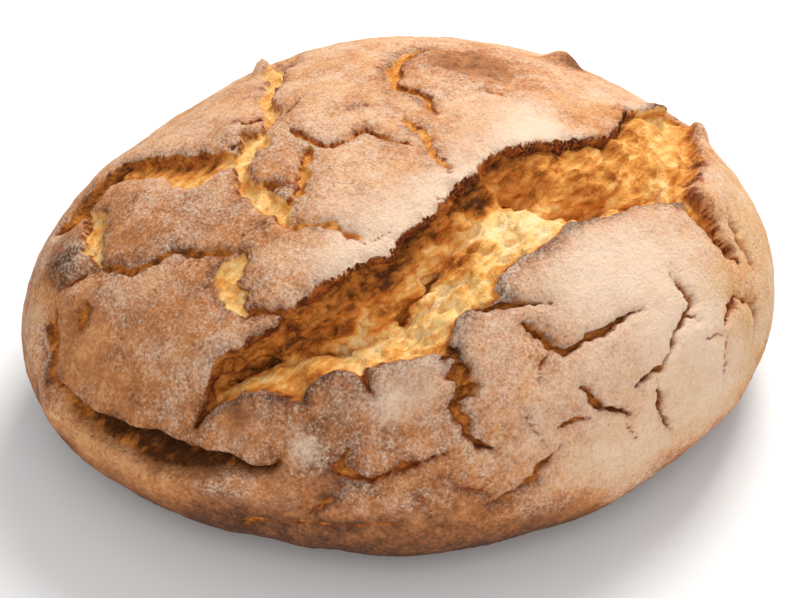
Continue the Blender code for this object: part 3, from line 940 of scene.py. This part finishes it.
            # Crumb in the slots is darkened: painted shade of their depth.
            pale = np.where(opened.away < 1.2, opened.pale - 0.3 * opened.slot, pale)
            opened_share = np.maximum(opened_share, opened.torn)
            rimless = np.maximum(rimless, opened.rimless)
            roughness = np.where(opened.away < 0, opening.roughness, roughness)
            toast_and_shade = np.maximum(toast_and_shade, opened.toast_and_shade)
            tone = np.maximum(tone, opened.tone)
            flour = flour * opened.flour
            nearest = np.minimum(nearest, opened.away)
            deeper = -opened.away > into
            into = np.where(deeper, -opened.away, into)
            char = np.where(deeper, opened.char, char)
            bare = np.where(deeper, opened.bare, bare)
        # Coarse relief comes in over 2.5 mm past the lips, so that it doesn't bend them.
        crumb_share = ease((-nearest - 0.3) / 2.5)
        # The crumb is calmer at the loaf's right end.
        roughness *= np.interp(straight[:, 0], (55, 80), (1, 0.6))
        swell = np.clip(1 + self.relief(points, self.width_swells), 0.3, 2)
        for crack in self.cracks:
            share, away, from_sharp = self.part_crack(crack, place, swell)
            # A crack cuts the crust alone: it ends 1 mm inside another break.
            free = nearest >= -1
            deeper = free & (share * crack.depth > sunk)
            sunk = np.where(deeper, share * crack.depth, sunk)
            pale = np.where(free & (away < np.minimum(nearest, 1.2)), crack.shows.value, pale)
            gap = np.where(free, np.maximum(gap, share), gap)
            # Along a crack's sharp edge runs a dark line: partly toasted crust, partly painted shadow
            # under the plate's edge.
            edge = 0.6 * bell(from_sharp - 0.3, 0.6) * ease(1 - away / 0.4)
            toast_and_shade = np.where(free, np.maximum(toast_and_shade, edge), toast_and_shade)
            nearest = np.where(free, np.minimum(nearest, away), nearest)
        from_edge = np.maximum(nearest, 0)
        torn = np.flatnonzero(crumb_share > 0)
        lumps = np.zeros(count)
        lumps[torn] = self.relief(points[torn], self.crumb_swells)
        lumps[torn] += sum(spot.at(straight[torn]) for spot in CRUMB_LUMPS)
        creased = np.zeros(count)
        creased[torn] = self.torn_relief(straight[torn], points[torn])
        relief = self.relief(points, self.crust_swells)
        relief += ((lumps + creased) * roughness - relief) * crumb_share
        relief += self.relief(points, self.gap_grit) * gap
        relief += self.plate_rise * (1 - np.exp(-from_edge / self.plate_rise_reach))
        relief -= self.edge_roll * np.exp(-from_edge / self.edge_roll_reach)
        for tip in TIPS:
            relief += tip.at(straight)
        level = ease(points[:, 2] / self.relief_fade_height)
        moved = self.form.direction_of(straight + level[:, None] * shift)
        lift = ((relief - sunk) * level)[:, None]
        risen = self.form.point(moved) + lift * self.form.normal(moved)
        pale = toasted(pale, (0.10 * creased + 0.05 * lumps) * crumb_share * roughness)
        pale += sum(spot.at(straight) for spot in CRUMB_PATCHES)
        cleft = ease((gap - 0.2) / 0.5)
        return Surface(
            points=np.where(points[:, 2:] > 0, risen, points),
            nearest=nearest,
            crumb=np.maximum(opened_share, cleft),
            roughness=roughness,
            into=into,
            bare=bare,
            cleft=cleft,
            pale=np.clip(pale, 0, 1),
            toast_and_shade=toast_and_shade,
            char=char,
            flour=flour,
            tone=tone,
            near_edge=np.exp(-from_edge / self.edge_tone_reach) * (1 - rimless),
        )


@dataclass(frozen=True)
class Shading:
    """An amount that changes over the crust: a plain share, a slope to one side, and spots."""

    plain: float
    side: Place
    side_reach: float
    side_amount: float
    low_amount: float
    low_heights: Place
    spots: tuple[Spot, ...]

    def amount(self, place: Array, points: Array) -> Array:
        """The amount at each place, from 0 to 1.

        Args:
            place: the places, one row each.
            points: the base form's points there.

        Returns:
            The amounts.
        """
        aside = place @ np.array(self.side)
        total = self.plain + self.side_amount * ease(aside / self.side_reach)
        low, high = self.low_heights
        total += self.low_amount * ease((high - points[:, 2]) / (high - low))
        for spot in self.spots:
            total += spot.at(place)
        return np.clip(total, 0, 1)


FLOURING = Shading(
    plain=0.34,
    side=(-0.8, -0.6),
    side_reach=120.0,
    side_amount=-0.2,
    low_amount=-0.5,
    low_heights=(8.0, 42.0),
    spots=spots(
        (-30, -44, 12, 0.4), (-5, -34, 10, 0.3), (35, -80, 22, 0.5), (60, -35, 14, 0.2),
        (35, -12, 14, 0.3), (-43, -97, 5, 0.5), (-70, -97, 5, 0.5), (34, 32, 16, -0.35),
        (-20, -95, 14, 0.2), (-112, -18, 9, -0.3), (74, 38, 6, -0.4), (88, 1, 4, -0.4),
        (72, -104, 26, 0.5), (96, -30, 18, -0.1), (84, -42, 7, 0.2), (35, -90, 24, 0.15),
        (82, -88, 14, -0.45), (50, -14, 8, -0.45), (66, -6, 7, -0.45), (-34, -92, 8, 0.25),
        (-54, -89, 5, 0.2), (30, -140, 18, 0.5), (-5, -130, 16, 0.25), (-142, -40, 14, 0.05),
        (-84, -77, 6, -0.15), (-90, -40, 12, 0.1), (-82, -19, 9, 0.1), (18, -110, 9, 0.22),
        (-3, -117, 8, 0.12), (-41, -102, 6, 0.1), (-3, -27, 6, -0.1), (-67, -109, 8, -0.1),
        (-45, -25, 4, 0.06),
    ),
)

BAKING_AND_LOW_SHADE = Shading(
    plain=0.24,
    side=(-0.85, -0.5),
    side_reach=120.0,
    side_amount=0.2,
    # Toward the bottom the crust is darker: partly browner bottom crust, partly painted shade.
    low_amount=0.9,
    low_heights=(0.0, 40.0),
    spots=spots(
        (34, 32, 16, 0.4), (-60, -92, 16, 0.2), (-103, 15, 7, 0.6), (74, 38, 6, 0.5),
        (88, 1, 5, 0.6), (-112, -18, 9, -0.2), (-122, 8, 12, -0.2), (75, -112, 26, -0.5),
        (118, -60, 30, -0.5), (-60, 0, 26, 0.12), (30, -140, 18, -0.4), (-5, -130, 16, -0.1),
        (-142, -42, 16, -0.4), (-128, -72, 14, -0.3), (-106, -95, 10, 0.1), (-84, -77, 5, 0.12),
        (-82, -19, 9, -0.12), (-67, -109, 8, 0.16), (-45, -25, 4, -0.12),
    ),
)


def shade(red: int, green: int, blue: int) -> Colour:
    """A colour for a shader, from screen values of 0 to 255.

    Args:
        red: its red.
        green: its green.
        blue: its blue.

    Returns:
        The colour with its alpha.
    """
    parts = [value / 255 for value in (red, green, blue)]
    linear = [part / 12.92 if part <= 0.04045 else ((part + 0.055) / 1.055) ** 2.4 for part in parts]
    return (*linear, 1.0)


def placed(name: str, data: bpy.types.ID) -> bpy.types.Object:
    """A new object in the scene that shows a mesh, a light or a camera.

    Args:
        name: the object's name.
        data: what it shows.

    Returns:
        The object.
    """
    thing = bpy.data.objects.new(name, data)
    bpy.context.scene.collection.objects.link(thing)
    return thing


class Desk:
    """Lays out the nodes of one material."""

    def __init__(self, name: str) -> None:
        """Starts a material with its Principled shader.

        Args:
            name: the material's name.
        """
        self.material = bpy.data.materials.new(name)
        self.material.use_nodes = True
        self.tree = self.material.node_tree
        self.shader = self.tree.nodes["Principled BSDF"]
        self.coordinates = self.node("TexCoord", {}).outputs["Object"]

    def feed(self, node: bpy.types.Node, inputs: Inputs) -> None:
        """Links each input to another socket, or sets its value.

        Args:
            node: the node.
            inputs: what goes into each of its inputs.
        """
        for name, value in inputs.items():
            if isinstance(value, bpy.types.NodeSocket):
                self.tree.links.new(value, node.inputs[name])
            else:
                node.inputs[name].default_value = value

    def node(self, kind: str, inputs: Inputs, **settings: str) -> bpy.types.Node:
        """A new node of a kind, with its settings made and its inputs fed.

        Args:
            kind: its kind, as in Blender without the prefix.
            inputs: what goes into each input.
            settings: its other settings.

        Returns:
            The node.
        """
        node = self.tree.nodes.new(f"ShaderNode{kind}")
        for name, value in settings.items():
            setattr(node, name, value)
        self.feed(node, inputs)
        return node

    def attribute(self, name: str) -> Socket:
        """The amount that the mesh stores under a name."""
        return self.node("Attribute", {}, attribute_name=name).outputs["Fac"]

    def clouds(self, size_mm: float, detail: float = 2.0, rough: float = 0.5, offset: float = 0.0,
               stretch: float = 1.0) -> Socket:
        """Clouds about so many millimetres across, which may be drawn out along the split."""
        place = self.node("Mapping", {
            "Location": (offset, offset * 0.7, -offset), "Rotation": (0, 0, SPLIT_TURN),
            "Scale": (stretch, 1, 1), "Vector": self.coordinates,
        }, vector_type="TEXTURE")
        return self.node("TexNoise", {
            "Scale": 1 / (size_mm * MM), "Detail": detail, "Roughness": rough,
            "Vector": place.outputs["Vector"],
        }).outputs["Fac"]

    def grains(self, size_mm: float) -> Socket:
        """Distance from scattered points about so many millimetres apart."""
        inputs = {"Scale": 1 / (size_mm * MM), "Vector": self.coordinates}
        return self.node("TexVoronoi", inputs).outputs["Distance"]

    def joined(self, operation: str, *amounts: Amount) -> Socket:
        """Amounts added, multiplied or compared, one after another.

        Args:
            operation: the Math node's name for it.
            amounts: two amounts or more.

        Returns:
            The result.
        """
        result, *others = amounts
        for amount in others:
            result = self.node("Math", {0: result, 1: amount}, operation=operation).outputs[0]
        return result

    def span(self, value: Socket, low: float, high: float, to_low: float = 0.0,
             to_high: float = 1.0) -> Socket:
        """An amount stretched smoothly from one range to another, and kept within it."""
        return self.node("MapRange", {
            "Value": value, "From Min": low, "From Max": high, "To Min": to_low, "To Max": to_high,
        }, interpolation_type="SMOOTHSTEP").outputs["Result"]

    def between(self, low: float, high: float, *clouds: float) -> Socket:
        """Clouds whose amounts lie between two values: their numbers are those of clouds()."""
        return self.span(self.clouds(*clouds), *MOST_CLOUDS, low, high)

    def swing(self, most: float, *clouds: float) -> Socket:
        """Clouds that swing to so much less and so much more than nothing."""
        return self.between(-most, most, *clouds)

    def mix(self, share: Amount, first: Socket | Colour, second: Socket | Colour) -> Socket:
        """One colour turning to another."""
        return self.node("Mix", {0: share, 6: first, 7: second}, data_type="RGBA").outputs[2]

    def ramp(self, value: Socket, stops: Sequence[tuple[float, Colour]]) -> Socket:
        """Colours in a row, read by an amount.

        Args:
            value: the amount.
            stops: each colour with the amount that it stands at.

        Returns:
            The colour.
        """
        node = self.node("ValToRGB", {"Fac": value})
        elements = node.color_ramp.elements
        while len(elements) < len(stops):
            elements.new(1.0)
        for element, (place, colour) in zip(elements, stops):
            element.position = place
            element.color = colour
        return node.outputs["Color"]

    def finished(self, inputs: Inputs) -> bpy.types.Material:
        """The material, with its shader fed."""
        self.feed(self.shader, inputs)
        return self.material


@dataclass(frozen=True)
class LoafFinish:
    """Baked crust under flour, and the torn crumb that shows in its breaks.

    Clouds are given by their amounts, then their size in millimetres, detail, roughness,
    offset and stretch.
    """

    crust: tuple[tuple[float, Colour], ...] = (
        (0.0, shade(210, 162, 108)), (0.14, shade(212, 152, 98)), (0.35, shade(190, 124, 74)),
        (0.7, shade(138, 84, 48)), (1.0, shade(84, 50, 32)),
    )
    crumb: tuple[tuple[float, Colour], ...] = (
        (0.0, shade(80, 42, 14)), (0.1, shade(114, 62, 20)), (0.2, shade(154, 88, 32)),
        (0.35, shade(198, 120, 48)), (0.55, shade(230, 160, 78)), (0.75, shade(246, 200, 126)),
        (1.0, shade(252, 222, 168)),
    )
    char: tuple[tuple[float, Colour], ...] = (
        (0.0, shade(186, 96, 36)), (0.5, shade(132, 58, 24)), (1.0, shade(76, 36, 18)),
    )
    flour: Colour = shade(234, 206, 180)
    speck: Colour = shade(116, 70, 44)
    # Even the thickest flour lets some crust show through.
    most_flour: float = 0.84

    def crust_colour(self, desk: Desk) -> Socket:
        """The crust's colour: mottled brown, darker where it baked most and, partly as painted shade,
        toward the bottom, with flour on it.

        Args:
            desk: the desk that the nodes go on.

        Returns:
            The colour.
        """
        baked_and_shaded = desk.joined(
            "ADD", desk.attribute("tone"), desk.swing(0.14, 8.0, 4.0, 0.6),
            desk.swing(0.13, 1.3, 2.0, 0.6, 8.0),
            desk.joined("MULTIPLY", desk.attribute("near_edge"), desk.between(0.1, 0.45, 6.0)),
        )
        specks = desk.span(desk.clouds(1.2, 2.0, 0.6, 3.0), 0.60, 0.70, 0.0, 0.7)
        ground = desk.mix(specks, desk.ramp(baked_and_shaded, self.crust), self.speck)
        return desk.mix(self.flour_share(desk), ground, self.flour)

    def flour_share(self, desk: Desk) -> Socket:
        """How much flour covers the crust: a film of fine grains with clumps and drifts.

        Args:
            desk: the desk that the nodes go on.

        Returns:
            The share, from 0 to 1.
        """
        flour = desk.attribute("flour")
        grains = desk.span(desk.grains(0.9), 0.15, 0.6, 0.07, -0.045)
        film = desk.joined(
            "ADD", grains, desk.swing(0.165, 0.9, 3.0, 0.65), desk.swing(0.105, 3.4, 3.0, 0.6, 1.0),
            desk.swing(0.12, 18.0, 2.0, 0.5, 2.0),
        )
        # Thin flour lies in grains and clumps, and thick flour evens them out.
        film = desk.joined(
            "MULTIPLY", film, desk.span(flour, 0.0, 0.12), desk.span(flour, 0.15, 0.55, 1.6, 0.85),
        )
        thick = desk.joined("MINIMUM", flour, self.most_flour)
        share = desk.span(desk.joined("ADD", film, thick), -0.1, 1.1)
        past_lip = desk.span(self.ragged_into(desk, 0.45), 0.0, 0.8, 1.0, 0.06)
        return desk.joined("MULTIPLY", share, past_lip)

    def ragged_into(self, desk: Desk, ragged_mm: float) -> Socket:
        """How far a point lies in from an opening's lips, made ragged by fine noise."""
        return desk.joined("ADD", desk.attribute("into"), desk.swing(ragged_mm, 2.2, 4.0, 0.7, 9.0))

    def crumb_share(self, desk: Desk) -> Socket:
        """Where crumb shows: past the lips of an opening, and down in the cracks.

        Args:
            desk: the desk that the nodes go on.

        Returns:
            The share, from 0 to 1.
        """
        opened = desk.span(self.ragged_into(desk, 0.2), 0.1, 0.5)
        opened = desk.joined("MULTIPLY", opened, desk.attribute("bare"))
        return desk.joined("MAXIMUM", opened, desk.attribute("cleft"))

    def toast_amount(self, desk: Desk) -> Socket:
        """How toasted a point is: charred just under a raised lip, browned at other edges, with a dark
        line along cracks' sharp edges that is partly painted shadow.

        Args:
            desk: the desk that the nodes go on.

        Returns:
            The amount, from 0 to 1.
        """
        begun = desk.span(self.ragged_into(desk, 0.35), 0.0, 0.4)
        depth = desk.joined("ADD", desk.attribute("into"), desk.swing(0.7, 4.0))
        ended = desk.span(depth, 1.0, 3.4, 1.0, 0.0)
        charred = desk.joined("MULTIPLY", begun, ended, desk.attribute("char"))
        return desk.joined("MAXIMUM", charred, desk.attribute("toast_and_shade"))

    def crumb_colour(self, desk: Desk) -> Socket:
        """The torn crumb's colour, from the brown under a lip to pale cream.

        Args:
            desk: the desk that the nodes go on.

        Returns:
            The colour.
        """
        patches = desk.span(desk.clouds(7.0, 4.0, 0.6, 4.0), 0.25, 0.75, -0.1, 0.1)
        streaks = desk.swing(0.16, 2.4, 4.0, 0.65, 5.0, 3.0)
        return desk.ramp(desk.joined("ADD", desk.attribute("pale"), patches, streaks), self.crumb)

    def height(self, desk: Desk, crumb: Socket) -> Socket:
        """The fine relief in millimetres: grainy on the crust, ragged on the crumb.

        Args:
            desk: the desk that the nodes go on.
            crumb: the share of crumb.

        Returns:
            The height.
        """
        grain, lumps, torn, grit = (
            desk.joined("MULTIPLY", desk.clouds(*clouds), height)
            for height, clouds in (
                (0.5, (0.9, 2.0, 0.6)), (0.5, (2.2, 3.0, 0.6, 1.0)),
                (1.1, (2.0, 3.0, 0.6, 6.0)), (0.45, (0.9, 2.0, 0.6, 11.0)),
            )
        )
        floured, ragged = desk.joined("ADD", grain, lumps), desk.joined("ADD", torn, grit)
        return desk.node("Mix", {0: crumb, 2: floured, 3: ragged}).outputs[0]

    def material(self) -> bpy.types.Material:
        """The finished material.

        Returns:
            The material.
        """
        desk = Desk("baked_crust")
        crumb = self.crumb_share(desk)
        colour = desk.mix(crumb, self.crust_colour(desk), self.crumb_colour(desk))
        toast_and_shade = self.toast_amount(desk)
        scorch = desk.swing(0.3, 2.4, 4.0, 0.65, 7.0)
        toasted = desk.ramp(desk.joined("ADD", toast_and_shade, scorch), self.char)
        cover = desk.joined("ADD", toast_and_shade, desk.joined("MULTIPLY", scorch, 0.5))
        # Flour lies in specks on the toasted rims too.
        specks = desk.span(desk.clouds(0.8, 2.0, 0.6, 9.0), 0.5, 0.6)
        specks = desk.joined("MULTIPLY", specks, desk.attribute("flour"))
        cover = desk.joined(
            "MULTIPLY", desk.span(cover, 0.15, 0.75), desk.span(specks, 0.1, 0.6, 1.0, 0.2),
        )
        relief = {"Strength": 1.0, "Distance": MM, "Height": self.height(desk, crumb)}
        return desk.finished({
            "Base Color": desk.mix(cover, colour, toasted),
            "Normal": desk.node("Bump", relief).outputs["Normal"],
            "Roughness": desk.between(0.72, 0.92, 2.0),
            "Specular IOR Level": 0.15,
            "Subsurface Weight": 0.1,
            "Subsurface Radius": (1.0, 0.5, 0.25),
            "Subsurface Scale": 1.2 * MM,
        })


@dataclass
class Loaf:
    """The loaf's crust and crumb, one closed fine mesh."""

    breaks: Breaks = field(default_factory=Breaks)
    ball_subdivisions: int = 6
    # How close to a break facets are halved, first all over the crust and then beside breaks.
    fine_bands: tuple[float, ...] = (400.0, 1.4)
    coarse_below: float = 6.0
    # Edges longer than this are halved again where they lie this close to a break.
    longest_edge: float = 1.2
    longest_edge_band: float = 0.4
    most_passes: int = 3
    # The breaks' edges are evened out within these bands, so many times.
    lip_band: float = 1.6
    lip_passes: int = 3
    edge_band: float = 0.8
    # Facets that meet at a sharper turn than this have folded.
    fold_angle: float = math.radians(100)
    fold_passes: int = 4
    moved: Array = field(default_factory=lambda: np.zeros(3))

    def refined_ball(self) -> Ball:
        """A ball of small facets, finer over the crust and finest around the breaks.

        Returns:
            The ball, of radius 1.
        """
        ball = bmesh.new()
        bmesh.ops.create_icosphere(ball, subdivisions=self.ball_subdivisions, radius=1)
        for band in self.fine_bands[: None]:
            direction = self.directions(ball)
            near = self.breaks.distance(direction) < band
            near &= self.breaks.form.point(direction)[:, 2] > self.coarse_below
            self.halve(ball, [edge for edge in ball.edges if all(near[end.index] for end in edge.verts)])
        return ball

    def halve(self, ball: Ball, edges: list[bmesh.types.BMEdge]) -> None:
        """Halves some edges, mends the facets beside them and takes out doubled facets.

        Args:
            ball: the ball, which is changed.
            edges: the edges.
        """
        bmesh.ops.subdivide_edges(ball, edges=edges, cuts=1, use_grid_fill=True)
        bmesh.ops.triangulate(ball, faces=ball.faces[:], quad_method="BEAUTY")
        ball.verts.index_update()
        alike: dict[frozenset[int], list[bmesh.types.BMFace]] = {}
        for face in ball.faces:
            alike.setdefault(frozenset(corner.index for corner in face.verts), []).append(face)
        doubled = [face for faces in alike.values() if len(faces) > 1 for face in faces]
        bmesh.ops.delete(ball, geom=doubled, context="FACES")
        ball.verts.index_update()

    def long_edges(self, ball: Ball, surface: Surface) -> list[bmesh.types.BMEdge]:
        """The edges near a break that the surface has drawn out too long.

        Args:
            ball: the ball.
            surface: the surface at the ball's corners.

        Returns:
            Those edges.
        """
        ends = np.array([[corner.index for corner in edge.verts] for edge in ball.edges])
        length = np.linalg.norm(surface.points[ends[:, 0]] - surface.points[ends[:, 1]], axis=1)
        near = (surface.nearest < self.longest_edge_band)[ends].all(axis=1)
        chosen = set(np.flatnonzero(near & (length > self.longest_edge)))
        return [edge for index, edge in enumerate(ball.edges) if index in chosen]

    def shaped_ball(self) -> tuple[Ball, Surface]:
        """Gives the ball the loaf's form.

        Returns:
            The ball, and the loaf's surface at its corners.
        """
        ball = self.refined_ball()
        surface = self.breaks.surface(self.directions(ball))
        for _ in range(self.most_passes):
            self.halve(ball, self.long_edges(ball, surface))
            surface = self.breaks.surface(self.directions(ball))
        self.put(ball, surface.points)
        self.even_out_edges(ball, surface)
        self.breaks.roughen(surface, np.array([corner.normal for corner in ball.verts]))
        self.put(ball, surface.points)
        self.iron_out_folds(ball)
        surface.points = self.corners(ball) / MM
        return ball, surface

    def even_out_edges(self, ball: Ball, surface: Surface) -> None:
        """Takes the saw teeth out of the breaks' edges, where the facets are steep and few.

        Args:
            ball: the ball, which is changed.
            surface: the surface, whose points follow the ball.
        """
        lips = (surface.into, self.lip_band, self.lip_passes)
        for away, band, passes in (lips, (surface.nearest, self.edge_band, 1)):
            corners = [corner for corner, gap in zip(ball.verts, away) if abs(gap) < band]
            for _ in range(passes):
                self.smooth(ball, corners)
        surface.points = self.corners(ball) / MM
        ball.normal_update()

    def iron_out_folds(self, ball: Ball) -> None:
        """Smooths the few corners where a facet has folded back over the next one.

        Args:
            ball: the ball, which is changed.
        """
        for _ in range(self.fold_passes):
            ball.normal_update()
            folded = [edge for edge in ball.edges if edge.calc_face_angle(0.0) > self.fold_angle]
            bent = {corner.index for edge in folded for corner in edge.verts}
            self.smooth(ball, [corner for corner in ball.verts if corner.index in bent])

    def smooth(self, ball: Ball, corners: list[bmesh.types.BMVert]) -> None:
        """Draws some corners halfway in among their neighbours."""
        axes = {"use_axis_x": True, "use_axis_y": True, "use_axis_z": True}
        bmesh.ops.smooth_vert(ball, verts=corners, factor=0.5, **axes)

    def put(self, ball: Ball, points: Array) -> None:
        """Puts the ball's corners at the points."""
        for corner, point in zip(ball.verts, points * MM):
            corner.co = point

    def corners(self, ball: Ball) -> Array:
        """Where the ball's corners are."""
        return np.array([corner.co for corner in ball.verts])

    def directions(self, ball: Ball) -> Array:
        """The unit direction of each of the ball's corners."""
        direction = self.corners(ball)
        return direction / np.linalg.norm(direction, axis=1, keepdims=True)

    def build(self) -> bpy.types.Object:
        """The loaf, in the place of its plain solid.

        Returns:
            The piece.
        """
        ball, surface = self.shaped_ball()
        low, high = (np.array(corner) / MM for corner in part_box("loaf"))
        lowest, highest = surface.points.min(axis=0), surface.points.max(axis=0)
        self.moved = (low + high) / 2 - (lowest + highest) / 2
        self.moved[2] = low[2] - lowest[2]
        self.put(ball, surface.points + self.moved)
        mesh = bpy.data.meshes.new("loaf_crust")
        ball.to_mesh(mesh)
        ball.free()
        mesh.shade_smooth()
        for name in ("into", "bare", "cleft", "pale", "toast_and_shade", "char", "flour", "tone", "near_edge"):
            layer = mesh.attributes.new(name, "FLOAT", "POINT")
            layer.data.foreach_set("value", getattr(surface, name).astype(np.float32))
        mesh.materials.append(LoafFinish().material())
        piece = placed("loaf_crust", mesh)
        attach(piece, "root")
        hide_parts("loaf")
        log.info("%s: %d triangles", piece.name, len(mesh.polygons))
        return piece


@dataclass(frozen=True)
class Lamp:
    """A soft box: its place and size in metres, its power in watts and its colour."""

    name: str
    place: tuple[float, float, float]
    size: float
    power: float
    colour: tuple[float, float, float] = (1.0, 1.0, 1.0)


@dataclass(frozen=True)
class Studio:
    """A pale floor, soft light from behind and the right, and the camera.

    The camera's turn and rise are degrees, and its distance and aim are millimetres. The
    floor's size is metres.
    """

    turn: float = -24.0
    rise: float = 38.0
    distance: float = 591.0
    aim: tuple[float, float, float] = (-8.0, -13.5, 40.0)
    focal_length: float = 85.0
    sensor_width: float = 36.0
    floor_size: float = 3.0
    floor_colour: Colour = shade(246, 246, 246)
    surroundings: float = 0.5
    lamps: tuple[Lamp, ...] = (
        Lamp("key", (0.5, 0.45, 0.85), 0.5, 10.6, (1.0, 0.98, 0.95)),
        Lamp("fill", (-0.3, -0.8, 0.7), 0.9, 4.0),
    )

    def camera(self, moved: Array) -> None:
        """The camera at the photograph's angle, aimed at the loaf.

        Args:
            moved: how far the loaf was moved into its box, in millimetres.
        """
        turn, rise = math.radians(self.turn), math.radians(self.rise)
        level = math.cos(rise)
        away = Vector((math.sin(turn) * level, -math.cos(turn) * level, math.sin(rise)))
        lens = bpy.data.cameras.new("camera")
        lens.lens = self.focal_length
        lens.sensor_width = self.sensor_width
        camera = placed("camera", lens)
        camera.location = (Vector(self.aim) + Vector(moved) + away * self.distance) * MM
        camera.rotation_euler = away.to_track_quat("Z", "Y").to_euler()
        bpy.context.scene.camera = camera

    def lights(self) -> None:
        """The soft boxes and the even light of a white room."""
        for lamp in self.lamps:
            light = bpy.data.lights.new(lamp.name, "AREA")
            light.size = lamp.size
            light.energy = lamp.power
            light.color = lamp.colour
            holder = placed(lamp.name, light)
            holder.location = lamp.place
            holder.rotation_euler = Vector(lamp.place).to_track_quat("Z", "Y").to_euler()
        world = bpy.data.worlds.new("white_room")
        world.use_nodes = True
        background = world.node_tree.nodes["Background"]
        background.inputs["Color"].default_value = (1.0, 1.0, 1.0, 1.0)
        background.inputs["Strength"].default_value = self.surroundings
        bpy.context.scene.world = world
        bpy.context.scene.view_settings.view_transform = "Standard"

    def floor(self) -> None:
        """A plain pale floor under the loaf."""
        desk = Desk("pale_floor")
        sheet = bmesh.new()
        bmesh.ops.create_grid(sheet, x_segments=2, y_segments=2, size=self.floor_size / 2)
        mesh = bpy.data.meshes.new("floor")
        sheet.to_mesh(mesh)
        sheet.free()
        roughness = desk.between(0.82, 0.9, 40.0)
        mesh.materials.append(desk.finished({"Base Color": self.floor_colour, "Roughness": roughness}))
        placed("floor", mesh)


def main() -> None:
    """Builds the loaf and its studio."""
    logging.basicConfig(level=logging.INFO, format="%(name)s %(message)s")
    loaf = Loaf()
    loaf.build()
    studio = Studio()
    studio.camera(loaf.moved)
    studio.lights()
    studio.floor()


if __name__ == "__main__":
    main()
